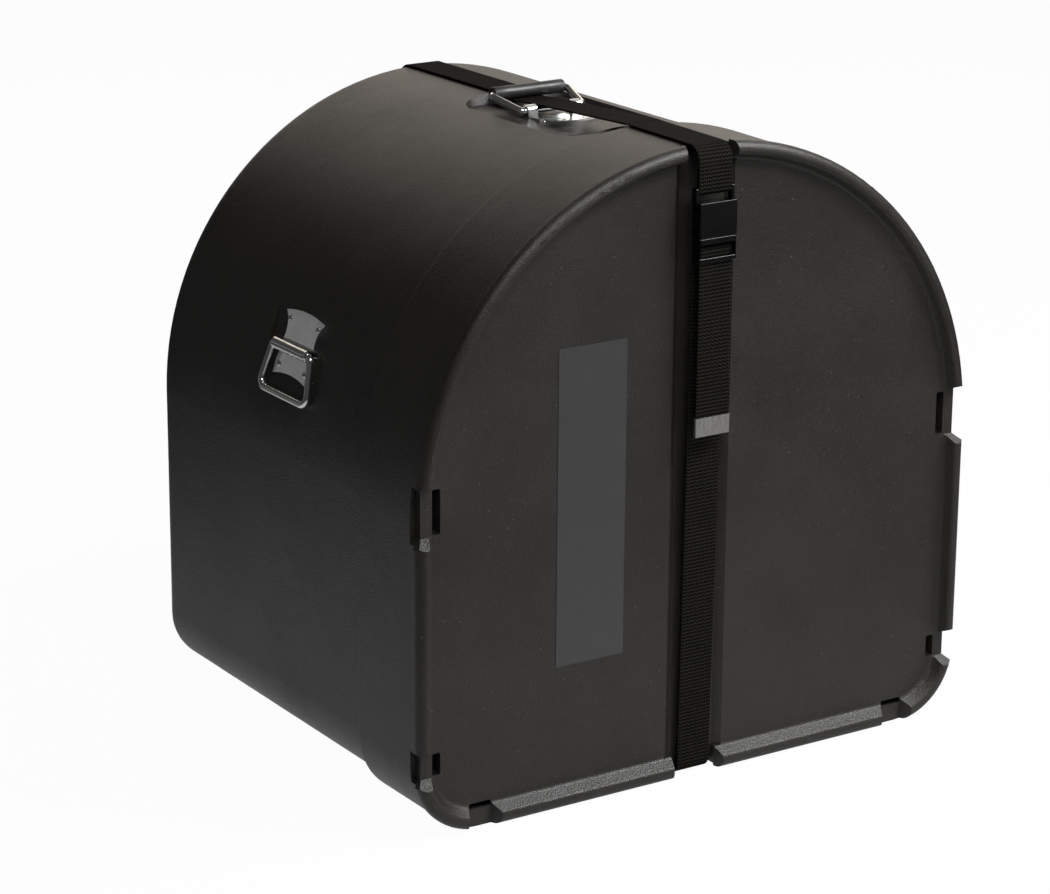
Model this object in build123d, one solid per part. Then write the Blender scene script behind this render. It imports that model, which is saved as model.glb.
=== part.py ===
"""A hard drum case: an arched moulded tub and a lid that slips over its mouth.

A webbing strap with a side-release buckle runs round both. Three steel bail handles are riveted on.
X runs across the case, Y from its front to its back and Z up. Lengths are in millimetres. Depths are
counted from the crest of the lid's front bead until place() moves the origin under the middle.
"""

from build123d import *
import math
import os

# Driving dimensions of the tub and the lid
tub_width = 625.0
tub_taper = 3.5
arch_height = 312.0
case_depth = 535.0
wall = 5.0
lid_wall = 6.6
corner_radius = 61.0
back_corner_radius = 58.0
back_round = 20.0
mouth_depth = 35.0
lid_depth = 115.0
slip_gap = 0.9

# The lid's front: a rounded bead round a face panel that lies behind it
bead_proud = 2.5
bead_height = 12.0
bead_width = 17.5
bead_flank = 5.5
bead_sill = 21.0
sill_flank = 8.0
bead_length = 13.0
bead_round = 9.0
bead_inner_round = 4.0
bead_back_round = 1.2
panel_round = 5.0
rim_round = 2.0
channel_half_width = 26.0
channel_depth = 6.0
channel_flank = 8.0
channel_flare = 4.0
channel_round = 12.0

# Notches in the bead, each with a deep slot behind a narrow bridge
notch_depth = 8.5
notch_back = 21.0
notch_slot_width = 9.0
notch_slot_depth = 14.0
notch_slot_round = 2.0
notch_bridge = 12.5
notch_margin = 1.5
notch_ramp_up = 5.0
notch_ramp_down = 9.0
upper_notch_drop = 12.0
upper_notch_length = 44.0
lower_notch_foot = 62.0
lower_notch_length = 22.0
sill_notch_inset = 61.5
sill_notch_length = 25.0
sill_slot_height = 6.0
sill_bridge = 18.0
sill_ramp = 7.0

# Moulded runners under the tub
runner_inset = 54.5
runner_width = 62.0
runner_gap = 6.0
runner_round = 3.0
runner_corner = 20.0

# The pocket in the arch for the top handle, and the flat seats for the side handles
handle_depth = 273.0
handle_angle = 18.8
pocket_half_width = 62.0
pocket_front = 137.0
pocket_bow = 16.0
pocket_back = 77.0
pocket_sink = 11.5
pocket_corner = 28.0
pocket_slope = 25.0
seat_half_width = 54.0
seat_half_height = 42.0
seat_sink = 2.6

# Handle hardware
plate_thickness = 2.0
plate_top_half_width = 37.0
plate_neck_half_width = 28.0
plate_foot_half_width = 32.0
plate_up = 33.5
plate_down = 29.5
plate_bulge = 4.5
plate_hollow = 4.5
knuckle_half_length = 31.5
knuckle_strap_clearance = 1.6
rod_diameter = 7.5
rod_gap = 0.3
bail_half_width = 36.2
bail_end_half_width = 46.5
bail_length = 46.0
bail_corner = 9.0
bail_pivot_corner = 5.0
side_rod_height = 7.5
side_bail_lean = 4.5
top_rod_height = 7.5
top_bail_tilt = 12.5
grip_length = 84.0
grip_diameter = 14.0
rivet_head_diameter = 7.0
rivet_head_height = 2.0
rivet_shank_diameter = 3.7
rivet_gap = 0.1
rivet_up = 27.0
rivet_up_half_spacing = 27.0
rivet_down = 18.5
rivet_down_half_spacing = 25.0
backing_half_width = 36.0
backing_half_height = 32.0
backing_thickness = 2.0

# Webbing strap
strap_width = 38.0
strap_thickness = 2.0
strap_lay = 0.2
strap_split = 3.0
strap_front = -3.2
strap_bend = 16.0
strap_sill_depth = 12.0
strap_sill_bend = 10.0
strap_over_rod = 0.4
strap_under_grip = 0.4
strap_dip = 60.0
sewn_length = 26.0
tip_height = 18.5
tip_wall = 0.9
tip_gap = 0.1
tail_length = 185.0

# Side-release buckle
buckle_width = 44.0
buckle_thickness = 13.0
buckle_front = -10.0
buckle_round = 2.0
buckle_edge = 0.8
housing_drop = 38.0
shoulder_height = 34.0
housing_height = 47.0
housing_wall = 2.6
housing_roof = 4.0
rail_width = 2.6
rail_thickness = 7.0
sewn_bar_height = 5.0
sewn_bar_thickness = 3.0
window_height = 29.0
tongue_gap = 0.3
foot_drop = 23.5
collar_drop = 6.0
plug_height = 3.0
blade_half_width = 4.0
blade_thickness = 4.0
blade_height = 28.0
end_bar_thickness = 2.6
end_bar_height = 4.4
mid_bar_thickness = 3.2
mid_bar_height = 3.6
mid_bar_drop = 11.4
bar_round_share = 0.85
prong_root_radius = 1.6
prong_root_offset = 14.5
prong_arm_width = 3.0
prong_head_width = 9.5
prong_proud = 1.0
prong_head_height = 10.0
prong_height = 26.0
prong_thickness = 6.6

# Label on the face panel
label_width = 77.0
label_height = 314.0
label_thickness = 0.4
label_offset = -125.0
label_drop = 12.5
label_corner = 1.5

# Shared small values
overrun = 1.0

# Sizes that follow from the ones above
tub_half = tub_width / 2
tub_back_half = tub_half - tub_taper
lid_inner_half = tub_half + slip_gap
lid_half = lid_inner_half + lid_wall
bead_half = lid_half + bead_proud
lid_floor = bead_proud
tub_floor = lid_floor + lid_wall + slip_gap
lid_top = arch_height + lid_half
case_top = arch_height + bead_half
panel_depth = bead_height
face_back = panel_depth + lid_wall
channel_floor = panel_depth + channel_depth
bead_corner = corner_radius + slip_gap + lid_wall + bead_proud
buckle_back = buckle_front + buckle_thickness
strap_half = strap_width / 2
rod_radius = rod_diameter / 2
runner_outer = tub_half - runner_inset
runner_inner = runner_outer - runner_width
label_middle = arch_height - label_drop

# The buckle hangs from the lid's top, and its levels count from the housing's mouth
housing_top = lid_top - housing_drop
housing_mouth = housing_top - housing_height
housing_shoulder = housing_mouth + shoulder_height
window_top = housing_mouth + window_height
collar_bottom = housing_mouth - collar_drop
tongue_foot = housing_mouth - foot_drop
mid_bar_level = housing_mouth - mid_bar_drop
blade_top = housing_mouth + blade_height
prong_head_bottom = housing_mouth + prong_head_height
prong_top = housing_mouth + prong_height


def half_width_at(depth):
    """Half the tub's outer width at a depth: straight under the lid, then tapering to the back."""
    share = max(0, (depth - lid_depth) / (case_depth - lid_depth))
    return tub_half + (tub_back_half - tub_half) * share


def arched_face(half_width, floor, corner):
    """The case's outline as a flat face: half circle, straight sides, rounded lower corners."""
    foot = half_width - corner
    edges = Curve() + [
        Line((-foot, floor), (foot, floor)),
        CenterArc((foot, floor + corner), corner, -90, 90),
        Line((half_width, floor + corner), (half_width, arch_height)),
        CenterArc((0, arch_height), half_width, 0, 180),
        Line((-half_width, arch_height), (-half_width, floor + corner)),
        CenterArc((-foot, floor + corner), corner, 180, 90),
    ]
    return make_face(edges)


def upright(depth):
    """The plane across the case at a depth, with X to the right and Y upwards."""
    return Plane((0, depth, 0), x_dir=(1, 0, 0), z_dir=(0, -1, 0))


def arched_block(half_width, floor, corner, near, far):
    """A straight block of the case's outline between two depths."""
    return extrude(upright(near) * arched_face(half_width, floor, corner), amount=near - far)


def block(x_range, y_range, z_range):
    """A box between three pairs of limits."""
    size = [high - low for low, high in (x_range, y_range, z_range)]
    middle = [(high + low) / 2 for low, high in (x_range, y_range, z_range)]
    return Pos(*middle) * Box(*size)


def tapered_block(inset, near, far):
    """The tub's tapering form, drawn in by an inset, from a near to a far depth."""
    faces = [
        upright(near) * arched_face(tub_half - inset, tub_floor + inset, corner_radius - inset),
        upright(lid_depth) * arched_face(tub_half - inset, tub_floor + inset, corner_radius - inset),
        upright(far) * arched_face(tub_back_half - inset, tub_floor + inset, back_corner_radius - inset),
    ]
    return loft([face.face() for face in faces], ruled=True)


def handle_seats():
    """The seat plane of each handle: origin on the seat, Z outwards, Y away from the hanging bail."""
    radius = half_width_at(handle_depth)
    seat_radius = radius - seat_sink
    angle = math.radians(handle_angle)
    across = seat_radius * math.cos(angle)
    height = arch_height + seat_radius * math.sin(angle)
    top_height = arch_height + radius - pocket_sink
    tilt = (math.cos(angle), math.sin(angle))
    return {
        "left": Plane((-across, handle_depth, height), x_dir=(0, -1, 0), z_dir=(-tilt[0], 0, tilt[1])),
        "right": Plane((across, handle_depth, height), x_dir=(0, 1, 0), z_dir=(tilt[0], 0, tilt[1])),
        "top": Plane((0, handle_depth, top_height), x_dir=(-1, 0, 0), z_dir=(0, 0, 1)),
    }


seats = handle_seats()
top_seat_height = seats["top"].origin.Z
top_rod_level = top_seat_height + top_rod_height
tilt_angle = math.radians(top_bail_tilt)
grip_middle = (
    handle_depth + bail_length * math.cos(tilt_angle),
    top_rod_level + bail_length * math.sin(tilt_angle),
)
rivet_places = [
    (side * half_spacing, height)
    for half_spacing, height in ((rivet_up_half_spacing, rivet_up), (rivet_down_half_spacing, -rivet_down))
    for side in (-1, 1)
]


def rivet_holes(low, high):
    """Cutters for the four rivet shanks of one handle between two levels of its seat plane."""
    radius = rivet_shank_diameter / 2 + rivet_gap
    hole = Pos(0, 0, (low + high) / 2) * Cylinder(radius, high - low)
    return [Pos(x, y) * hole for x, y in rivet_places]


# Tub
def pocket_block(margin, low, high):
    """The top handle's pocket with sloping sides and a bowed front, its plan grown by a margin."""
    half = pocket_half_width + margin
    near = handle_depth - pocket_front - margin
    far = handle_depth + pocket_back + margin
    edges = Curve() + [
        ThreePointArc((-half, near), (0, near + pocket_bow), (half, near)),
        Line((half, near), (half, far)),
        Line((half, far), (-half, far)),
        Line((-half, far), (-half, near)),
    ]
    plan = make_face(edges)
    plan = fillet(plan.vertices(), pocket_corner)
    return extrude(Pos(0, 0, low) * plan, amount=high - low, taper=-pocket_slope)


def seat_block(margin, low, high):
    """A block over a side seat with its plan grown by a margin, between two levels of the seat plane."""
    plan = Rectangle(2 * (seat_half_width + margin), 2 * (seat_half_height + margin))
    return extrude(Pos(0, 0, low) * plan, amount=high - low)


def runner(side):
    """One moulded runner along the tub's underside, level with the bottom of the lid's bead."""
    near = lid_depth + runner_gap
    far = case_depth - back_round
    x_range = sorted((side * runner_inner, side * runner_outer))
    bar = block(x_range, (near, far), (0, tub_floor + wall / 2))
    bar = fillet(bar.edges().filter_by(Axis.Z), runner_corner)
    return fillet(bar.edges().group_by(Axis.Z)[0], runner_round)


def tub_shell():
    """The deep half of the case, open at the front, with its handle seats, pocket and runners."""
    outer = tapered_block(0, mouth_depth, case_depth)
    outer = fillet(outer.edges().group_by(Axis.Y)[-1], back_round)
    inner = tapered_block(wall, mouth_depth - overrun, case_depth - wall)
    inner = fillet(inner.edges().group_by(Axis.Y)[-1], back_round - wall)
    top_seat = top_seat_height
    outer -= pocket_block(0, top_seat, case_top)
    inner -= pocket_block(wall, top_seat - wall, case_top)
    for name in ("left", "right"):
        outer -= seats[name] * seat_block(0, 0, wall)
        inner -= seats[name] * seat_block(wall, -wall, wall)
    shell = outer - inner
    for side in (-1, 1):
        shell += runner(side)
    for plane in seats.values():
        shell -= [plane * hole for hole in rivet_holes(-wall - overrun, overrun)]
    return shell


# Lid
def panel_recess():
    """What is cut away in front of the face panel, narrowing from the bead's crest to the panel."""
    half = bead_half - bead_width
    corner = bead_corner - bead_width
    reach = (panel_depth + overrun) / panel_depth
    flank = bead_flank * reach
    wide = upright(-overrun) * arched_face(half + flank, bead_sill - sill_flank * reach, corner + flank)
    narrow = upright(panel_depth) * arched_face(half, bead_sill, corner)
    cutter = loft([wide.face(), narrow.face()], ruled=True)
    return fillet(cutter.edges().group_by(Axis.Y)[-1], panel_round)


def lid_bead():
    """The rounded bead round the lid's front, sloping down inside to the face panel."""
    bead = arched_block(bead_half, 0, bead_corner, 0, bead_length)
    bead = fillet(bead.edges().group_by(Axis.Y)[0], bead_round)
    bead = fillet(bead.edges().group_by(Axis.Y)[-1], bead_back_round)
    bead -= panel_recess()
    crest = bead.faces().sort_by(Axis.Y)[0]
    return fillet(crest.inner_wires()[0].edges(), bead_inner_round)


def channel_cut():
    """The strap's channel down the lid's front, with sloping flanks, rounded over at the top and bottom."""
    half = channel_half_width
    cut = block((-half, half), (-overrun, channel_floor), (-overrun, case_top + overrun))
    open_half = half + channel_flare
    mouth = [(-half, panel_depth), (-open_half, -overrun), (open_half, -overrun), (half, panel_depth)]
    mouth_face = Pos(0, 0, -overrun) * make_face(Polyline(*mouth, close=True))
    cut += extrude(mouth_face, amount=case_top + 2 * overrun)
    wide = half + channel_flank * (channel_depth + overrun) / channel_depth
    near = panel_depth - overrun
    flanks = [(-half, channel_floor), (-wide, near), (wide, near), (half, channel_floor)]
    top = arch_height + bead_half - bead_width
    cut += extrude(Pos(0, 0, bead_sill) * make_face(Polyline(*flanks, close=True)), amount=top - bead_sill)
    roller = Rot(0, 90, 0) * Cylinder(channel_round, 2 * half + overrun)
    round_depth = channel_floor + channel_round
    y_range = (channel_floor - overrun, round_depth)
    for edge, height in ((lid_top, lid_top - channel_round), (lid_floor, lid_floor + channel_round)):
        over = edge + math.copysign(bead_proud + overrun, edge - height)
        rounding = block((-half, half), y_range, sorted((height, over)))
        cut += rounding - Pos(0, round_depth, height) * roller
    return cut


def ramped_cut(plane, span, levels, runs, length):
    """A cutter whose span at its floor level grows by a run at each end towards its mouth level."""
    low, high = span
    floor, mouth = levels
    corners = [(low, floor), (low - runs[0], mouth), (high + runs[1], mouth), (high, floor)]
    return extrude(plane * make_face(Polyline(*corners, close=True)), amount=length)


def slot_cut(x_range, z_range, slot_end):
    """A deep slot with rounded corners."""
    slot = block(x_range, (-overrun, slot_end), z_range)
    return fillet(slot.edges().filter_by(Axis.Y), notch_slot_round)


def slot_wall(x_range, z_range, slot_end):
    """The moulded wall round a slot inside the lid."""
    x_wide = (x_range[0] - lid_wall, x_range[1] + lid_wall)
    z_wide = (z_range[0] - lid_wall, z_range[1] + lid_wall)
    return block(x_wide, (face_back, slot_end + lid_wall), z_wide)


def notches():
    """Cutters for the bead's notches and their slots, and the blocks that wall them in."""
    cuts = []
    walls = []
    upper_foot = arch_height - upper_notch_drop
    side_notch_spans = (
        (upper_foot, upper_foot + upper_notch_length),
        (lower_notch_foot, lower_notch_foot + lower_notch_length),
    )
    bridge_face = bead_half - notch_depth
    slot_outer = bridge_face - notch_bridge
    slot_inner = slot_outer - notch_slot_width
    slot_end = panel_depth + notch_slot_depth
    reach = bead_half + overrun
    runs = (notch_ramp_down, notch_ramp_up)
    for side in (-1, 1):
        slot = sorted((side * slot_inner, side * slot_outer))
        front = sorted((side * slot_inner, side * reach))
        front_plane = Plane((front[1], 0, 0), x_dir=(0, 0, 1), z_dir=(-1, 0, 0))
        edge_plane = Plane((0, -overrun, 0), x_dir=(0, 0, 1), z_dir=(0, 1, 0))
        behind = sorted((side * (slot_inner - lid_wall), side * lid_half))
        levels = (panel_depth, -overrun)
        edge_levels = (side * bridge_face, side * reach)
        for low, high in side_notch_spans:
            span = (low - notch_margin, high + notch_margin)
            cuts.append(ramped_cut(front_plane, span, levels, runs, front[1] - front[0]))
            cuts.append(ramped_cut(edge_plane, span, edge_levels, runs, notch_back + overrun))
            cuts.append(slot_cut(slot, (low, high), slot_end))
            walls.append(slot_wall(slot, (low, high), slot_end))
            z_range = (span[0] - notch_ramp_down - lid_wall, span[1] + notch_ramp_up + lid_wall)
            walls.append(block(behind, (face_back, notch_back + lid_wall), z_range))
        high = bead_half - sill_notch_inset
        low = high - sill_notch_length
        z_range = (sill_bridge, sill_bridge + sill_slot_height)
        span = sorted((side * low, side * high))
        floor_plane = Plane((0, 0, -overrun), x_dir=(1, 0, 0), z_dir=(0, 0, 1))
        cuts.append(ramped_cut(floor_plane, span, levels, (sill_ramp, sill_ramp), bead_sill + 2 * overrun))
        cuts.append(slot_cut(span, z_range, slot_end))
        walls.append(slot_wall(span, z_range, slot_end))
    return cuts, walls


def lid_shell():
    """The shallow half of the case, which slips over the tub's mouth."""
    corner = corner_radius + slip_gap
    body_front = (panel_depth + bead_length) / 2
    body = arched_block(lid_half, lid_floor, corner + lid_wall, body_front, lid_depth)
    body = fillet(body.edges().group_by(Axis.Y)[-1], rim_round)
    body += lid_bead()
    hollow = arched_block(lid_inner_half, lid_floor + lid_wall, corner, face_back, lid_depth + overrun)
    cuts, walls = notches()
    x_range = (-channel_half_width - lid_wall, channel_half_width + lid_wall)
    hollow -= block(x_range, (0, channel_floor + lid_wall), (0, case_top))
    hollow -= walls
    body -= hollow
    body -= channel_cut()
    body -= cuts
    return body


# Handles
def plate_outline():
    """The hourglass outline shared by the handle plates, on the seat plane."""
    top = plate_top_half_width
    neck = plate_neck_half_width
    foot = plate_foot_half_width
    edges = Curve() + [
        ThreePointArc((-top, plate_up), (0, plate_up + plate_bulge), (top, plate_up)),
        ThreePointArc((top, plate_up), (neck, plate_up / 3), (foot, 0)),
        Line((foot, 0), (foot, -plate_down)),
        ThreePointArc((foot, -plate_down), (0, -plate_down + plate_hollow), (-foot, -plate_down)),
        Line((-foot, -plate_down), (-foot, 0)),
        ThreePointArc((-foot, 0), (-neck, plate_up / 3), (-top, plate_up)),
    ]
    return make_face(edges)


def knuckle(rod_height, x_range):
    """A sheet loop over the pivot rod: legs from the plate and a half-round top."""
    inner = rod_radius + rod_gap
    outer = inner + plate_thickness
    length = x_range[1] - x_range[0]
    middle = (x_range[0] + x_range[1]) / 2
    turned = Pos(middle, 0, rod_height) * Rot(0, 90, 0)
    solid = turned * Cylinder(outer, length) + block(x_range, (-outer, outer), (0, rod_height))
    bore = turned * Cylinder(inner, length + overrun)
    leg_range = (x_range[0] - overrun, x_range[1] + overrun)
    solid -= block(leg_range, (-outer - overrun, outer + overrun), (-outer, 0))
    return solid - bore - block(leg_range, (-inner, inner), (-overrun, rod_height))


def handle_plate(rod_height, knuckle_ranges):
    """One stamped plate: two riveted flanges with the rod's knuckles raised between them."""
    plate = extrude(plate_outline(), amount=plate_thickness)
    inner = rod_radius + rod_gap
    for x_range in knuckle_ranges:
        plate -= block(x_range, (-inner, inner), (-overrun, plate_thickness + overrun))
        plate += knuckle(rod_height, x_range)
    return plate - rivet_holes(-overrun, plate_thickness + overrun)


def bail(rod_height):
    """The closed rod loop: pivot bar in the knuckles, splayed arms and the bar that is held."""
    corners = [
        (-bail_half_width, 0),
        (bail_half_width, 0),
        (bail_end_half_width, -bail_length),
        (-bail_end_half_width, -bail_length),
    ]
    path = Polyline(*corners, close=True)
    path = fillet(path.vertices().group_by(Axis.Y)[-1], bail_pivot_corner)
    path = fillet(path.vertices().group_by(Axis.Y)[0], bail_corner)
    wire = path.wire()
    start = Plane(wire @ 0, z_dir=wire % 0)
    loop = sweep(start * Circle(rod_radius), path=wire)
    return Pos(0, 0, rod_height) * loop


def grip(rod_height):
    """The soft sleeve over the top bail's far bar."""
    sleeve = Cylinder(grip_diameter / 2, grip_length)
    sleeve = fillet(sleeve.edges().filter_by(GeomType.CIRCLE), rod_radius / 3)
    return Pos(0, -bail_length, rod_height) * Rot(0, 90, 0) * sleeve - bail(rod_height)


def rivets(outer_level, inner_level):
    """Four rivets: a domed head outside, a shank and a flat set head inside."""
    dome_radius = (rivet_head_diameter ** 2 / 4 + rivet_head_height ** 2) / (2 * rivet_head_height)
    dome = Pos(0, 0, outer_level + rivet_head_height - dome_radius) * Sphere(dome_radius)
    tall = 2 * dome_radius
    dome -= Pos(0, 0, outer_level - tall / 2) * Box(2 * tall, 2 * tall, tall)
    shank_length = outer_level - inner_level + overrun
    middle = (outer_level + inner_level) / 2
    shank = Pos(0, 0, middle) * Cylinder(rivet_shank_diameter / 2, shank_length)
    set_head = Cylinder(rivet_head_diameter / 2, rivet_head_height)
    set_head = Pos(0, 0, inner_level - rivet_head_height / 2) * set_head
    rivet = dome + shank + set_head
    return Compound([Pos(x, y) * rivet for x, y in rivet_places])


def backing_plate():
    """The steel plate inside the tub that the rivets draw up against the wall."""
    plan = Rectangle(2 * backing_half_width, 2 * backing_half_height)
    plate = extrude(Pos(0, 0, -wall) * plan, amount=-backing_thickness)
    return plate - rivet_holes(-wall - backing_thickness - overrun, -wall + overrun)


def handle_parts(name):
    """All the pieces of one handle, by node name."""
    plane = seats[name]
    ears = (strap_half + knuckle_strap_clearance, knuckle_half_length)
    ranges = {"top": [ears, (-ears[1], -ears[0])]}.get(name, [(-knuckle_half_length, knuckle_half_length)])
    rod_height = top_rod_height if name == "top" else side_rod_height
    parts = {
        f"{name}_handle_plate": plane * handle_plate(rod_height, ranges),
        f"{name}_handle_rivets": plane * rivets(plate_thickness, -wall - backing_thickness),
        f"{name}_backing_plate": plane * backing_plate(),
    }
    hung = {f"{name}_bail": bail(rod_height)}
    tilt = -side_bail_lean
    if name == "top":
        hung["top_grip"] = grip(rod_height)
        tilt = top_bail_tilt
    pivot = Pos(0, 0, rod_height) * Rot(-tilt, 0, 0) * Pos(0, 0, -rod_height)
    for node, solid in hung.items():
        parts[node] = plane * pivot * solid
    return parts


# Strap
def webbing(route, bends):
    """A flat strap swept along a route of depths and heights in the case's middle plane."""
    path = FilletPolyline(*[(0, depth, height) for depth, height in route], radius=bends)
    start = Plane(path @ 0, x_dir=(1, 0, 0), z_dir=path % 0)
    return sweep(start * Rectangle(strap_width, strap_thickness), path=path)


def strap_levels():
    """Middle heights of the webbing where it lies on the lid, on the tub and under both."""
    lift = strap_thickness / 2 + strap_lay
    return {
        "lid": lid_top + lift,
        "lid_under": lid_floor - lift + strap_lay / 2,
        "tub_under": tub_floor - lift,
        "back": case_depth + lift,
        "rod": top_rod_level + rod_radius + strap_over_rod + strap_thickness / 2,
        "grip": grip_middle[1] - grip_diameter / 2 - strap_under_grip - strap_thickness / 2,
    }


def tub_strap():
    """The strap's run over the tub, down its back and under it."""
    level = strap_levels()
    lift = strap_thickness / 2 + strap_lay
    pocket_end = handle_depth + pocket_back
    lip_depth = pocket_end + pocket_sink * math.tan(math.radians(pocket_slope))
    route = [
        (lid_depth + strap_split / 2, level["lid"]),
        (handle_depth, level["rod"]),
        (grip_middle[0], level["grip"]),
        (lip_depth, arch_height + half_width_at(lip_depth) + lift),
        (level["back"], arch_height + tub_back_half + lift),
        (level["back"], level["tub_under"]),
        (lid_depth + strap_split / 2, level["lid_under"]),
    ]
    edge_bend = back_round + lift
    return webbing(route, [strap_dip, strap_dip, strap_dip, edge_bend, edge_bend])


def sewn_bar_middle():
    """Depth and height of the middle of the housing's bar that the strap is sewn round."""
    depth = strap_front + strap_thickness / 2 + tongue_gap + sewn_bar_thickness / 2
    return depth, housing_top - sewn_bar_height / 2 - tongue_gap


def lid_top_strap():
    """The run over the lid's front edge, folded round the housing's bar and sewn to itself."""
    level = strap_levels()
    bar_depth, bar_height = sewn_bar_middle()
    fold = bar_depth - strap_front
    fold_height = bar_height - sewn_bar_height / 2 - tongue_gap - strap_thickness / 2
    route = [
        (lid_depth - strap_split / 2, level["lid"]),
        (strap_front, level["lid"]),
        (strap_front, fold_height),
        (strap_front + 2 * fold, fold_height),
        (strap_front + 2 * fold, fold_height + sewn_length),
    ]
    tight = fold - tip_gap
    return webbing(route, [strap_bend, tight, tight])


def lid_front_strap():
    """The run from behind the tongue down the channel and under the lid."""
    level = strap_levels()
    start = buckle_back + tongue_gap + strap_thickness / 2
    route = [
        (start, housing_mouth - overrun),
        (strap_sill_depth, level["lid_under"]),
        (lid_depth - strap_split / 2, level["lid_under"]),
    ]
    return webbing(route, [strap_sill_bend])


def mid_bar_span():
    """Front and back of the tongue's middle bar: the webbing passes between it and the end bar."""
    front = buckle_front + end_bar_thickness + 2 * tongue_gap + strap_thickness
    return front, front + mid_bar_thickness


def tail_levels():
    """Depths of the tail's front and rear legs about the middle bar, and the height of its fold."""
    gap = tongue_gap + strap_thickness / 2
    bar_front, bar_back = mid_bar_span()
    return bar_front - gap, bar_back + gap, mid_bar_level + mid_bar_height / 2 + gap


def strap_tail():
    """The free end: up behind the tongue's middle bar, over it and down behind the end bar."""
    front, rear, fold = tail_levels()
    route = [
        (rear, tongue_foot - strap_thickness),
        (rear, fold),
        (front, fold),
        (front, fold - tail_length),
    ]
    tight = (rear - front) / 2 - tip_gap
    return webbing(route, [tight, tight])


def strap_tip():
    """The sheet-metal tip crimped over the tail's end."""
    front, _, fold = tail_levels()
    bottom = fold - tail_length - tip_wall - tip_gap
    half = strap_half + tip_gap + tip_wall
    depth = strap_thickness / 2 + tip_gap + tip_wall
    top = bottom + tip_height
    sleeve = block((-half, half), (front - depth, front + depth), (bottom, top))
    sleeve = fillet(sleeve.edges().filter_by(Axis.Z), tip_wall)
    inner_half = strap_half + tip_gap
    inner_depth = strap_thickness / 2 + tip_gap
    y_range = (front - inner_depth, front + inner_depth)
    return sleeve - block((-inner_half, inner_half), y_range, (bottom + tip_wall, top + overrun))


# Buckle
def rounded_bar(half_length, y_range, z_range):
    """A cross bar with its four long edges rounded for the webbing."""
    bar = block((-half_length, half_length), y_range, z_range)
    smaller = min(y_range[1] - y_range[0], z_range[1] - z_range[0])
    return fillet(bar.edges().filter_by(Axis.X), bar_round_share * smaller / 2)


def buckle_slab(half, low, high, front=buckle_front, back=buckle_back):
    """A slab of the buckle's thickness between two heights, with all its outer edges rounded."""
    slab = block((-half, half), (front, back), (low, high))
    slab = fillet(slab.edges().filter_by(Axis.Z), buckle_round)
    levels = slab.edges().group_by(Axis.Z)
    return fillet(levels[0] + levels[-1], buckle_edge)


def buckle_housing():
    """The socket half: a hollow body with open sides, two rails and the bar for the sewn strap."""
    half = buckle_width / 2
    body = buckle_slab(half, housing_mouth, housing_shoulder)
    cavity_half = half - housing_wall
    cavity = (buckle_front + housing_wall, buckle_back - housing_wall)
    hollow = (-cavity_half, cavity_half)
    body -= block(hollow, cavity, (housing_mouth - overrun, housing_shoulder - housing_roof))
    window = (-half - overrun, half + overrun)
    body -= block(window, cavity, (housing_mouth - overrun, window_top))
    bar_depth, bar_height = sewn_bar_middle()
    rail_range = (bar_depth - rail_thickness / 2, bar_depth + rail_thickness / 2)
    for side in (-1, 1):
        x_range = sorted((side * half, side * (half - rail_width)))
        rail = block(x_range, rail_range, (housing_shoulder - overrun, housing_top))
        body += fillet(rail.edges().group_by(Axis.Z)[-1], buckle_round / 2)
    y_range = (bar_depth - sewn_bar_thickness / 2, bar_depth + sewn_bar_thickness / 2)
    z_range = (bar_height - sewn_bar_height / 2, bar_height + sewn_bar_height / 2)
    return body + rounded_bar(half - rail_width / 2, y_range, z_range)


def buckle_tongue():
    """The plug half: collar, centre blade, and the middle and end bars that hold the webbing."""
    half = buckle_width / 2 - tongue_gap
    top = housing_mouth - tongue_gap
    frame = buckle_slab(half, tongue_foot, top)
    opening_half = strap_half + overrun
    opening = (-opening_half, opening_half)
    whole = (buckle_front - overrun, buckle_back + overrun)
    frame -= block(opening, whole, (tongue_foot - overrun, collar_bottom))
    bar_half = (opening_half + half) / 2
    end_range = (buckle_front, buckle_front + end_bar_thickness)
    frame += rounded_bar(bar_half, end_range, (tongue_foot, tongue_foot + end_bar_height))
    mid_range = (mid_bar_level - mid_bar_height / 2, mid_bar_level + mid_bar_height / 2)
    frame += rounded_bar(bar_half, mid_bar_span(), mid_range)
    plug_half = buckle_width / 2 - housing_wall - tongue_gap
    plug_range = (buckle_front + housing_wall + tongue_gap, buckle_back - housing_wall - tongue_gap)
    frame += block((-plug_half, plug_half), plug_range, (top - overrun, top + plug_height))
    middle = (buckle_front + buckle_back) / 2
    blade_range = (middle - blade_thickness / 2, middle + blade_thickness / 2)
    return frame + block((-blade_half_width, blade_half_width), blade_range, (top, blade_top))


def buckle_prong(side):
    """One sprung prong: a rounded root, a slim arm and a broad head that stands out at the side."""
    plug_top = housing_mouth - tongue_gap + plug_height
    root_height = plug_top + tongue_gap + prong_root_radius
    middle = (buckle_front + buckle_back) / 2
    root = Rot(90, 0, 0) * Cylinder(prong_root_radius, prong_thickness)
    solid = Pos(prong_root_offset, middle, root_height) * root
    y_range = (middle - prong_thickness / 2, middle + prong_thickness / 2)
    arm_range = (prong_root_offset - prong_arm_width / 2, prong_root_offset + prong_arm_width / 2)
    solid += block(arm_range, y_range, (root_height, prong_top - buckle_round))
    head_outer = buckle_width / 2 + prong_proud
    head = block((head_outer - prong_head_width, head_outer), y_range, (prong_head_bottom, prong_top))
    solid += fillet(head.edges().filter_by(Axis.Y), buckle_round)
    return solid if side > 0 else mirror(solid, about=Plane.YZ)


# Label
def face_label():
    """The plain sticker on the face panel."""
    plan = RectangleRounded(label_width, label_height, label_corner)
    return extrude(upright(panel_depth) * Pos(label_offset, label_middle) * plan, amount=label_thickness)


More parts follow.
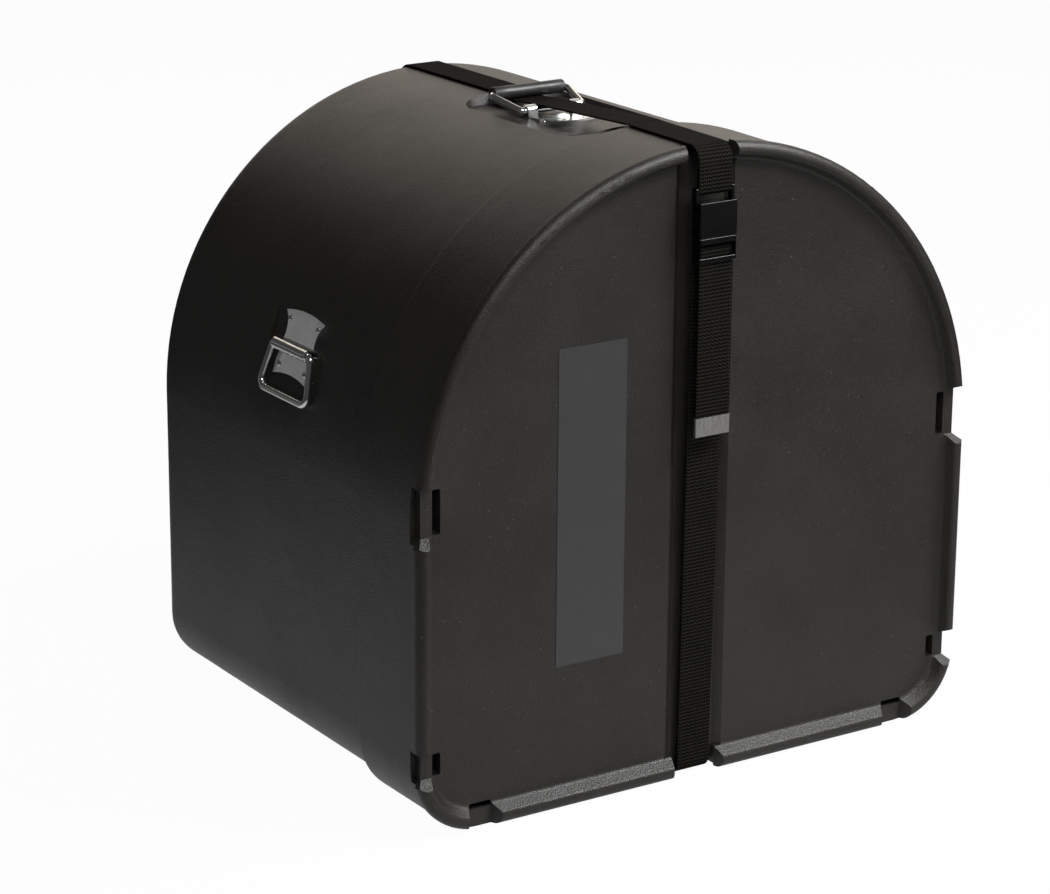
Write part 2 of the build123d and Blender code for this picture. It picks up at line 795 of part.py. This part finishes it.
def strap_back_face():
    """The depth of the rearmost surface, which is the strap's outer face."""
    return strap_levels()["back"] + strap_thickness / 2


def place(solid):
    """Moves a piece so that the origin lies under the middle of the whole case."""
    middle = (min(buckle_front, tip_front()) + strap_back_face()) / 2
    return Pos(0, -middle, 0) * solid


def tip_front():
    """The depth of the strap tip's front face."""
    front, _, _ = tail_levels()
    return front - strap_thickness / 2 - tip_gap - tip_wall


def all_parts():
    """Every piece of the case by node name."""
    parts = {
        "tub_shell": tub_shell(),
        "lid_shell": lid_shell(),
        "face_label": face_label(),
        "strap_tub_run": tub_strap(),
        "strap_lid_top_run": lid_top_strap(),
        "strap_lid_front_run": lid_front_strap(),
        "strap_tail": strap_tail(),
        "strap_tip": strap_tip(),
        "buckle_housing": buckle_housing(),
        "buckle_tongue": buckle_tongue(),
        "buckle_prong_left": buckle_prong(-1),
        "buckle_prong_right": buckle_prong(1),
    }
    for name in seats:
        parts.update(handle_parts(name))
    return parts


os.makedirs("parts", exist_ok=True)
for node, solid in all_parts().items():
    export_step(place(solid), f"parts/{node}.step")
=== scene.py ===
import bmesh
import bpy
import math
from mathutils import Euler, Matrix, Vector


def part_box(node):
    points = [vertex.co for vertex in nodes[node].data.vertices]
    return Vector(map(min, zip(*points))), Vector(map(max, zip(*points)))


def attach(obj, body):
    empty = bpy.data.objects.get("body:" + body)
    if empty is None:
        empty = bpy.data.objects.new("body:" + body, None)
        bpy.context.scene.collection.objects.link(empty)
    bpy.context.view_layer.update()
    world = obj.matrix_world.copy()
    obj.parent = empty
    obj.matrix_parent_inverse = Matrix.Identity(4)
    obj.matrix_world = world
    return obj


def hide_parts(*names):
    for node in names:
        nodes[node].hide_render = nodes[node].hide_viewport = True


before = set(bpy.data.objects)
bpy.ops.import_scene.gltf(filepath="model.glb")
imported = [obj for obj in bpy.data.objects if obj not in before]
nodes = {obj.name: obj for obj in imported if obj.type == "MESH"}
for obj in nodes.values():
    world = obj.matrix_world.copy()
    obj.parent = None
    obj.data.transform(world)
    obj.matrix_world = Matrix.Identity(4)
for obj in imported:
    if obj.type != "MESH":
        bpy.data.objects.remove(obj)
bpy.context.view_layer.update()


# Tub and lid shells
# The deep arched tub and the lid that slips over its mouth are thick hollow mouldings of black
# polyethylene. The mould leaves a fine pebbled grain with a dull, slightly brown sheen.

class Field:
    """A number that changes over a surface: a node's output that takes part in sums."""

    def __init__(self, finish, socket):
        self.finish = finish
        self.socket = socket

    def worked_out(self, operation, first, second=0.0):
        return self.finish.node("Math", {"operation": operation}, {0: first, 1: second})

    def __add__(self, other):
        return self.worked_out("ADD", self, other)

    __radd__ = __add__

    def __rsub__(self, other):
        return self.worked_out("SUBTRACT", other, self)

    def __mul__(self, other):
        return self.worked_out("MULTIPLY", self, other)

    __rmul__ = __mul__

    def sine(self):
        return self.worked_out("SINE", self)

    def absolute(self):
        return self.worked_out("ABSOLUTE", self)

    def above(self, limit):
        return self.worked_out("GREATER_THAN", self, limit)


class Finish:
    """A procedural finish on one material, built up node by node."""

    def __init__(self, name, fixed):
        self.material = bpy.data.materials.new(name)
        self.material.use_nodes = True
        self.tree = self.material.node_tree
        self.shader = self.tree.nodes["Principled BSDF"]
        for socket, value in fixed.items():
            self.shader.inputs[socket].default_value = value

    def node(self, kind, settings=None, sockets=None, out=0):
        """Adds a node with its settings and the values or fields that go into it."""
        made = self.tree.nodes.new("ShaderNode" + kind)
        for key, value in (settings or {}).items():
            if key == "stops":
                self.set_stops(made.color_ramp.elements, value)
            else:
                setattr(made, key, value)
        for key, value in (sockets or {}).items():
            self.join(made.inputs[key], value)
        return Field(self, made.outputs[out])

    def set_stops(self, elements, stops):
        """Puts the stops of a ramp in place, each a position and a shade."""
        for place, (at, shade) in enumerate(stops):
            if place == 0:
                stop = elements[0]
            elif place == len(stops) - 1:
                stop = elements[-1]
            else:
                stop = elements.new(at)
            stop.position = at
            stop.color = (shade, shade, shade, 1)

    def join(self, socket, value):
        if isinstance(value, Field):
            self.tree.links.new(value.socket, socket)
        else:
            socket.default_value = value

    def feed(self, socket, value):
        self.join(self.shader.inputs[socket], value)

    def place(self):
        return self.node("TexCoord", out="Object")

    def noise(self, scale, detail=2.0, roughness=0.5, stretch=None):
        spot = self.place()
        if stretch:
            spot = self.node("Mapping", None, {"Vector": spot, "Scale": stretch})
        values = {"Vector": spot, "Scale": scale, "Detail": detail, "Roughness": roughness}
        return self.node("TexNoise", None, values)

    def ramp(self, field, stops):
        return self.node("ValToRGB", {"stops": stops}, {"Fac": field})

    def blend_colors(self, share, first, second):
        """Mixes two colours, each given as three numbers or as a field."""
        start, end = [shade if isinstance(shade, Field) else (*shade, 1) for shade in (first, second)]
        return self.node("Mix", {"data_type": "RGBA"}, {"Factor": share, 6: start, 7: end}, out=2)

    def bump(self, height, depth, under=None):
        """Raises a surface by a height field, over another bump where one is given."""
        values = {"Height": height, "Distance": depth, "Strength": 1.0}
        if under:
            values["Normal"] = under
        return self.node("Bump", None, values)


def dress(names, finish):
    """Gives a finish to nodes of the frame."""
    for name in names:
        slots = nodes[name].data.materials
        slots.clear()
        slots.append(finish.material)


def moulded_plastic():
    """Black moulded polyethylene: a pebbled grain, cloudy sheen and scattered pale specks."""
    dark = (0.0135, 0.0124, 0.0112)
    light = (0.0300, 0.0275, 0.0247)
    pale = tuple(4.0 * part for part in light)
    grain_depth = 0.0007
    wave_depth = 0.0007
    finish = Finish("moulded_shell", {"IOR": 1.5, "Specular IOR Level": 0.45})
    cloud = finish.noise(9.0, 3.0, 0.6)
    grain = finish.noise(750.0, 3.0, 0.65)
    cells = {"Vector": finish.place(), "Scale": 800.0}
    pebble = finish.node("TexVoronoi", {"feature": "SMOOTH_F1"}, cells)
    specks = finish.node("TexVoronoi", None, {"Vector": finish.place(), "Scale": 95.0})
    speck = finish.ramp(specks + finish.noise(30.0) * 0.12, [(0.095, 1.0), (0.14, 0.0)])
    tone = finish.ramp(cloud * 0.35 + grain * 0.65, [(0.36, 0.0), (0.64, 1.0)])
    grained = finish.blend_colors(tone, dark, light)
    finish.feed("Base Color", finish.blend_colors(speck * 0.7, grained, pale))
    finish.feed("Roughness", 0.29 + 0.16 * tone)
    height = grain * 0.55 + pebble * 0.45
    wave = finish.bump(finish.noise(26.0), wave_depth)
    finish.feed("Normal", finish.bump(height, grain_depth, under=wave))
    return finish


dress(["tub_shell", "lid_shell"], moulded_plastic())


# Label
# A thin vinyl sticker stands on the face panel, left of the strap. It is left plain, with the
# faint gloss and the slight waviness that a printed film has once it is pressed on grained plastic.

def sticker_film():
    """Dark printed film, smoother and a little paler than the moulding under it."""
    finish = Finish("label_film", {"IOR": 1.5, "Coat Weight": 0.25, "Coat Roughness": 0.3})
    tone = finish.noise(60.0, 3.0)
    finish.feed("Base Color", finish.blend_colors(tone, (0.033, 0.035, 0.034), (0.042, 0.044, 0.042)))
    finish.feed("Roughness", 0.38 + 0.12 * finish.noise(240.0, 2.0))
    orange_peel_depth = 0.00018
    finish.feed("Normal", finish.bump(finish.noise(420.0, 2.0, 0.6), orange_peel_depth))
    return finish


dress(["face_label"], sticker_film())


# Handle plates, backing plates and rivets
# Stamped steel plates hold the bails in rolled knuckles and are riveted through the tub's wall.
# They are bright zinc plated: mirror-like, with faint drawing lines and a cloudy blue-grey cast.

def plated_steel(name, low, high, cloudiness):
    """Zinc-plated steel with a cloudy cast, fine drawn lines and wide shallow dents."""
    blue_zinc = (0.84, 0.86, 0.86)
    bright_zinc = (0.96, 0.96, 0.93)
    dent_depth = 0.0014
    drawn_depth = 0.00001
    finish = Finish(name, {"Metallic": 1.0, "IOR": 2.5})
    cloud = finish.noise(70.0, 3.0, 0.6)
    drawn = finish.noise(380.0, 2.0, 0.6, stretch=(1.0, 6.0, 1.0))
    finish.feed("Base Color", finish.blend_colors(cloud, blue_zinc, bright_zinc))
    finish.feed("Roughness", low + (high - low) * (cloud * cloudiness + drawn * (1 - cloudiness)))
    dents = finish.bump(finish.noise(17.0, 1.0), dent_depth)
    finish.feed("Normal", finish.bump(drawn, drawn_depth, under=dents))
    return finish


plate_finish = plated_steel("plated_sheet", 0.10, 0.34, 0.6)
handle_sides = ("left", "right", "top")
dress([f"{side}_handle_plate" for side in handle_sides], plate_finish)
dress([f"{side}_backing_plate" for side in handle_sides], plate_finish)
rivet_finish = plated_steel("rivet_metal", 0.16, 0.36, 0.5)
dress([f"{side}_handle_rivets" for side in handle_sides], rivet_finish)


# Bails
# Each bail is one closed loop of round steel rod, bent, butt-welded and zinc plated. It turns in
# its plate's knuckles. The side ones hang down, and the top one lies back over the strap.

dress([f"{side}_bail" for side in handle_sides], plated_steel("plated_rod", 0.10, 0.24, 0.7))


# Grip
# A thick soft vinyl sleeve is pushed over the top bail's far bar. Its cut ends show its wall, and
# use has left it a little slimmer in the middle.

grip_low, grip_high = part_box("top_grip")
grip_middle = Vector((0.0, (grip_low[1] + grip_high[1]) / 2, (grip_low[2] + grip_high[2]) / 2))
grip_half_length = (grip_high[0] - grip_low[0]) / 2
grip_radius = 0.007
grip_bore = 0.00385
grip_round = 0.0014
round_share = 0.3
shoulder_place_share = 0.6
shoulder_share = 0.985
waist_share = 0.97
grip_steps = 48
merge_distance = 1e-6


def grip_sleeve():
    """A tube spun about the bail's far bar, a little slimmer in the middle, with rounded ends."""
    half_profile = [
        (grip_half_length, grip_bore),
        (grip_half_length, grip_radius - grip_round),
        (grip_half_length - grip_round * round_share, grip_radius - grip_round * round_share),
        (grip_half_length - grip_round, grip_radius),
        (grip_half_length * shoulder_place_share, grip_radius * shoulder_share),
    ]
    left_half = [(-x, radius) for x, radius in half_profile]
    profile = left_half + [(0.0, grip_radius * waist_share)] + half_profile[::-1]
    bm = bmesh.new()
    verts = [bm.verts.new((x, radius, 0.0)) for x, radius in profile]
    edges = [bm.edges.new(pair) for pair in zip(verts, verts[1:] + verts[:1])]
    bmesh.ops.spin(
        bm, geom=verts + edges, cent=(0, 0, 0), axis=(1, 0, 0), dvec=(0, 0, 0),
        angle=math.tau, steps=grip_steps, use_merge=True, use_duplicate=False,
    )
    bmesh.ops.translate(bm, verts=bm.verts, vec=grip_middle)
    bmesh.ops.remove_doubles(bm, verts=bm.verts, dist=merge_distance)
    bmesh.ops.recalc_face_normals(bm, faces=bm.faces)
    return bm


def smooth_object(name, bm, finish):
    """Turns a bmesh into a smooth object at the origin."""
    mesh = bpy.data.meshes.new(name)
    bm.to_mesh(mesh)
    bm.free()
    for face in mesh.polygons:
        face.use_smooth = True
    mesh.materials.append(finish.material)
    piece = bpy.data.objects.new(name, mesh)
    bpy.context.collection.objects.link(piece)
    return piece


def soft_vinyl():
    """Satin black vinyl with small creases along the sleeve."""
    crease_depth = 0.0003
    finish = Finish("soft_vinyl", {"IOR": 1.5, "Specular IOR Level": 0.55})
    crease = finish.noise(260.0, 4.0, 0.6, stretch=(0.35, 1.0, 1.0))
    finish.feed("Base Color", finish.blend_colors(crease, (0.012, 0.012, 0.012), (0.026, 0.025, 0.025)))
    finish.feed("Roughness", 0.34 + 0.16 * finish.noise(90.0))
    finish.feed("Normal", finish.bump(crease, crease_depth))
    return finish


grip = smooth_object("grip_sleeve", grip_sleeve(), soft_vinyl())
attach(grip, "top_bail")
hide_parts("top_grip")


# Strap
# One length of 38 mm ribbed polypropylene webbing goes round the case. It lies down the channel in
# front, passes under the grip on top and is drawn tight by the buckle, with the tail hanging down.

web_half = 0.019
web_thickness = 0.0018
web_edge = 0.0005
web_edge_angle = math.radians(60)
web_step = 0.003
web_across = 14
selvedge_width = 0.0022
cord_pitch = 0.0024
rib_pitch = 0.0036
turn_step = math.radians(5)
lift_wave = 31.0
twist_wave = 17.0
crest_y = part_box("lid_shell")[0][1]


def ribbed_webbing():
    """Black webbing: wavy weft ribs, rounded warp cords between them and a flatter selvedge, with
    painted highlights on the raised weave and painted shade in its grooves.
    """
    ribs_share = 0.65
    weave_depth = 0.0005
    finish = Finish("ribbed_webbing", {"IOR": 1.1, "Specular IOR Level": 0.2})
    laid = {"Vector": finish.node("UVMap", {"uv_map": "along"})}
    across = finish.node("SeparateXYZ", None, laid, out="X")
    along = finish.node("SeparateXYZ", None, laid, out="Y")
    cords = (across * (math.tau / cord_pitch)).sine()
    sway = (across * (math.pi / cord_pitch)).sine() * 0.9
    ribs = (along * (math.tau / rib_pitch) + sway).sine()
    weave_relief_and_shade = (ribs * 0.5 + 0.5) * ribs_share + (cords * 0.5 + 0.5) * (1 - ribs_share)
    selvedge = across.absolute().above(web_half - selvedge_width)
    fibre = finish.noise(2600.0)
    dust = finish.noise(35.0, 3.0)
    # The raised weave is painted lighter and its grooves darker (painted highlight and painted shade),
    # with random fibre and dust tone mixed in.
    tone = finish.ramp(weave_relief_and_shade * 0.62 + fibre * 0.28 + dust * 0.1, [(0.36, 0.0), (0.9, 1.0)])
    finish.feed("Base Color", finish.blend_colors(tone, (0.003, 0.003, 0.0027), (0.029, 0.027, 0.023)))
    finish.feed("Roughness", 0.62 + 0.18 * fibre)
    height = weave_relief_and_shade * (1 - selvedge * 0.5) + fibre * 0.15
    finish.feed("Normal", finish.bump(height, weave_depth))
    return finish


webbing_finish = ribbed_webbing()


def rounded_corners(corners, bends):
    """The corners of a route, each but the first and last turned into points of an arc."""
    spots = [corners[0]]
    for before, corner, after, radius in zip(corners, corners[1:], corners[2:], bends):
        back = (before - corner).normalized()
        ahead = (after - corner).normalized()
        half_angle = back.angle(ahead) / 2
        reach = radius / math.tan(half_angle)
        centre = corner + (back + ahead).normalized() * (radius / math.sin(half_angle))
        start = corner + back * reach - centre
        end = corner + ahead * reach - centre
        turns = max(2, round(start.angle(end) / turn_step))
        first = start.normalized()
        last = end.normalized()
        spots += [centre + first.slerp(last, turn / turns) * radius for turn in range(turns + 1)]
    spots.append(corners[-1])
    return spots


def laid_route(route, bends):
    """Points, directions and distances, a step apart, along a route of depths and heights."""
    spots = rounded_corners([Vector((0.0, crest_y + depth, height)) for depth, height in route], bends)
    lengths = [0.0]
    for first, second in zip(spots, spots[1:]):
        lengths.append(lengths[-1] + (second - first).length)
    count = max(2, round(lengths[-1] / web_step))
    laid = []
    leg = 0
    for place in range(count + 1):
        at = lengths[-1] * place / count
        while leg < len(spots) - 2 and lengths[leg + 1] < at:
            leg += 1
        run = spots[leg + 1] - spots[leg]
        share = (at - lengths[leg]) / max(lengths[leg + 1] - lengths[leg], 1e-9)
        laid.append((spots[leg] + run * share, run.normalized(), at))
    return laid


def webbing(name, node, body, route, bends, sway=0.0):
    """A flat strip of webbing laid along its route, with its real width and thickness."""
    laid = laid_route(route, bends)
    length = laid[-1][2]
    bm = bmesh.new()
    uv = bm.loops.layers.uv.new("along")
    bmesh.ops.create_grid(bm, x_segments=web_across, y_segments=len(laid) - 1, size=1.0, calc_uvs=True)
    for face in bm.faces:
        for loop in face.loops:
            loop[uv].uv = (loop.vert.co.x * web_half, (loop.vert.co.y + 1) / 2 * length)
    for vert in bm.verts:
        across = vert.co.x
        spot, ahead, at = laid[round((vert.co.y + 1) / 2 * (len(laid) - 1))]
        outward = Vector((1.0, 0.0, 0.0)).cross(ahead)
        cup = sway * (math.sin(at * lift_wave) * 0.6 + across * math.sin(at * twist_wave + 1.0))
        vert.co = spot + Vector((across * web_half, 0, 0)) + outward * cup
    piece = smooth_object(name, bm, webbing_finish)
    wall = piece.modifiers.new("wall", "SOLIDIFY")
    wall.thickness = web_thickness
    wall.offset = 0.0
    edge = piece.modifiers.new("edge", "BEVEL")
    edge.width = web_edge
    edge.segments = 2
    edge.limit_method = "ANGLE"
    edge.angle_limit = web_edge_angle
    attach(piece, body)
    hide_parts(node)


rim = 0.115
half_split = 0.0015
lid_top = 0.6332
lid_under = 0.0014

rod_depth = 0.273
over_rod = 0.62433
grip_depth = 0.3179
under_grip = 0.62074
pocket_lip = 0.3554
lip_height = 0.6237
strap_back = 0.5362
tub_back_top = 0.6222
tub_under = 0.0088
dip_bend = 0.06
back_bend = 0.0212
webbing(
    "strap_over_tub", "strap_tub_run", "base",
    [
        (rim + half_split, lid_top),
        (rod_depth, over_rod),
        (grip_depth, under_grip),
        (pocket_lip, lip_height),
        (strap_back, tub_back_top),
        (strap_back, tub_under),
        (rim + half_split, lid_under),
    ],
    [dip_bend, dip_bend, dip_bend, back_bend, back_bend],
)

strap_front = -0.0032
loop_depth = 0.0056
loop_height = 0.5874
sewn_length = 0.026
crest_bend = 0.016
loop_bend = 0.0027
webbing(
    "strap_over_lid", "strap_lid_top_run", "lid",
    [
        (rim - half_split, lid_top),
        (strap_front, lid_top),
        (strap_front, loop_height),
        (strap_front + loop_depth, loop_height),
        (strap_front + loop_depth, loop_height + sewn_length),
    ],
    [crest_bend, loop_bend, loop_bend],
)

under_buckle_depth = 0.0043
under_buckle_height = 0.546
foot_depth = 0.012
foot_bend = 0.010
webbing(
    "strap_down_front", "strap_lid_front_run", "lid",
    [
        (under_buckle_depth, under_buckle_height),
        (foot_depth, lid_under),
        (rim - half_split, lid_under),
    ],
    [foot_bend],
)

tail_front = -0.0061
tail_rear = -0.0002
tail_start = 0.5215
tail_fold = 0.5387
tail_length = 0.185
tail_bend = 0.00285
tail_sway = 0.0004
webbing(
    "strap_tail_end", "strap_tail", "tongue",
    [
        (tail_rear, tail_start),
        (tail_rear, tail_fold),
        (tail_front, tail_fold),
        (tail_front, tail_fold - tail_length),
    ],
    [tail_bend, tail_bend],
    sway=tail_sway,
)


# Strap tip
# A strip of thin steel is folded round the cut end of the tail and crimped, so that it does not
# fray. Handling has left it dull, with fine scratches.

def crimped_metal():
    """Dull plated sheet with fine scratches and shallow crimp dents."""
    crimp_depth = 0.0006
    finish = Finish("crimped_tip", {"Metallic": 1.0})
    scratch = finish.noise(900.0, 3.0, 0.7, stretch=(1.0, 1.0, 0.12))
    dent = finish.noise(160.0, 1.0)
    finish.feed("Base Color", finish.blend_colors(scratch, (0.42, 0.41, 0.39), (0.74, 0.73, 0.70)))
    finish.feed("Roughness", 0.30 + 0.25 * scratch)
    finish.feed("Normal", finish.bump(dent * 0.7 + scratch * 0.3, crimp_depth))
    return finish


dress(["strap_tip"], crimped_metal())


# Buckle
# A side-release buckle moulded in black acetal. The housing is sewn to the strap, and the tongue
# clips up into it with two sprung prongs. Its faces are finely grained and its edges shine.

def acetal():
    """Black acetal: an even gloss with a very fine grain."""
    grain_depth = 0.00008
    finish = Finish("buckle_acetal", {"IOR": 1.48, "Specular IOR Level": 0.3})
    grain = finish.noise(1500.0, 2.0, 0.6)
    cloud = finish.noise(55.0)
    finish.feed("Base Color", finish.blend_colors(cloud, (0.001, 0.001, 0.001), (0.002, 0.002, 0.002)))
    finish.feed("Roughness", 0.12 + 0.10 * cloud + 0.05 * grain)
    finish.feed("Normal", finish.bump(grain, grain_depth))
    return finish


dress(["buckle_housing", "buckle_tongue", "buckle_prong_left", "buckle_prong_right"], acetal())


# Studio
# The case stands on a white floor. Soft boxes light it from above and in front, warm ones graze it
# from behind, and a low strip at the left shows in the side handle's plates.

floor_half = 12.0
floor_fade = 0.25
black = (0.0, 0.0, 0.0)
white = (1.0, 1.0, 1.0)


def white_paper():
    """Paper that is white to the camera, takes a shadow, and glows for reflected rays only, brightest
    close to the case: a painted reflection of a lit floor.
    """
    finish = Finish("white_paper", {"Roughness": 0.9})
    camera_ray = finish.node("LightPath", out="Is Camera Ray")
    glossy_ray = finish.node("LightPath", out="Is Glossy Ray")
    distance = finish.node("VectorMath", {"operation": "LENGTH"}, {0: finish.place()}, out="Value")
    # Reflected rays see the paper glow, brightest close to the case and fading with distance: a painted
    # reflection of lit floor.
    painted_floor_glow = finish.ramp(distance * floor_fade, [(0.14, 0.5), (0.2, 0.36), (0.235, 0.29), (0.33, 0.04)])
    shade = finish.blend_colors(glossy_ray, finish.blend_colors(camera_ray, black, white), painted_floor_glow)
    glow = finish.node("Emission", None, {"Color": shade, "Strength": 1.0}, out="Emission")
    paper = Field(finish, finish.shader.outputs[0])
    surface = finish.node("MixShader", None, {0: camera_ray * 0.97 + glossy_ray, 1: paper, 2: glow})
    finish.join(finish.tree.nodes["Material Output"].inputs["Surface"], surface)
    return finish


floor_grid = bmesh.new()
bmesh.ops.create_grid(floor_grid, x_segments=1, y_segments=1, size=floor_half)
smooth_object("floor", floor_grid, white_paper())


def white_world(level, mirrored):
    """A world that is white to the camera, grey in a reflection and dim as a light."""
    world = bpy.data.worlds.new("studio")
    bpy.context.scene.world = world
    world.use_nodes = True
    tree = world.node_tree
    background = tree.nodes["Background"]
    path = tree.nodes.new("ShaderNodeLightPath")
    dimmer = tree.nodes.new("ShaderNodeMapRange")
    dimmer.inputs["To Min"].default_value = level
    dimmer.inputs["To Max"].default_value = mirrored
    tree.links.new(path.outputs["Is Glossy Ray"], dimmer.inputs["Value"])
    brighter = tree.nodes.new("ShaderNodeMapRange")
    brighter.inputs["To Max"].default_value = 1.0
    tree.links.new(path.outputs["Is Camera Ray"], brighter.inputs["Value"])
    tree.links.new(dimmer.outputs["Result"], brighter.inputs["To Min"])
    tree.links.new(brighter.outputs["Result"], background.inputs["Strength"])
    background.inputs["Color"].default_value = (*white, 1)


white_world(level=0.010, mirrored=0.045)


def soft_box(name, place, aim, size, power, colour=white):
    """A rectangular area light that faces a point."""
    light = bpy.data.lights.new(name, "AREA")
    light.shape = "RECTANGLE"
    light.size, light.size_y = size
    light.energy = power
    light.color = colour
    lamp = bpy.data.objects.new(name, light)
    lamp.location = place
    lamp.rotation_euler = (Vector(aim) - Vector(place)).to_track_quat("-Z", "Y").to_euler()
    bpy.context.collection.objects.link(lamp)


case_middle = (0.0, 0.0, 0.32)
case_top = (0.0, 0.0, 0.6)
side_plate = (-0.31, 0.0, 0.42)
case_foot = (0.0, -0.2, 0.15)
arch_edge = (-0.1, -0.2, 0.5)
warm = (1.0, 0.90, 0.79)
half_warm = (1.0, 0.92, 0.83)
soft_box("key_above", (1.7, 0.5, 2.3), case_middle, (2.0, 1.6), 4.0)
soft_box("glow_behind", (1.4, 2.7, 1.75), case_top, (3.2, 1.9), 20.0, warm)
soft_box("glow_right", (2.3, 1.9, 1.15), case_top, (1.3, 1.0), 1.5, half_warm)
soft_box("glow_left", (-1.93, 2.51, 0.63), side_plate, (1.6, 0.3), 0.27)
soft_box("key_front", (1.55, -1.3, 2.3), case_foot, (1.3, 0.8), 84.0)
soft_box("key_left", (-0.45, -1.5, 2.3), arch_edge, (0.7, 0.5), 20.0)
soft_box("fill_front", (1.2, -2.6, 0.9), case_middle, (1.8, 1.8), 8.0)


# Camera
# A long lens looks down at the case's left front corner from about three and a half metres away.

camera_place = (-1.8889, -2.8253, 1.3368)
camera_turns = (72.5389, -0.4147, -33.1392)
camera_data = bpy.data.cameras.new("camera")
camera_data.lens = 119.53
camera_data.sensor_width = 36.0
camera = bpy.data.objects.new("camera", camera_data)
camera.location = camera_place
camera.rotation_euler = Euler([math.radians(turn) for turn in camera_turns])
bpy.context.collection.objects.link(camera)
bpy.context.scene.camera = camera
bpy.context.scene.view_settings.view_transform = "Standard"
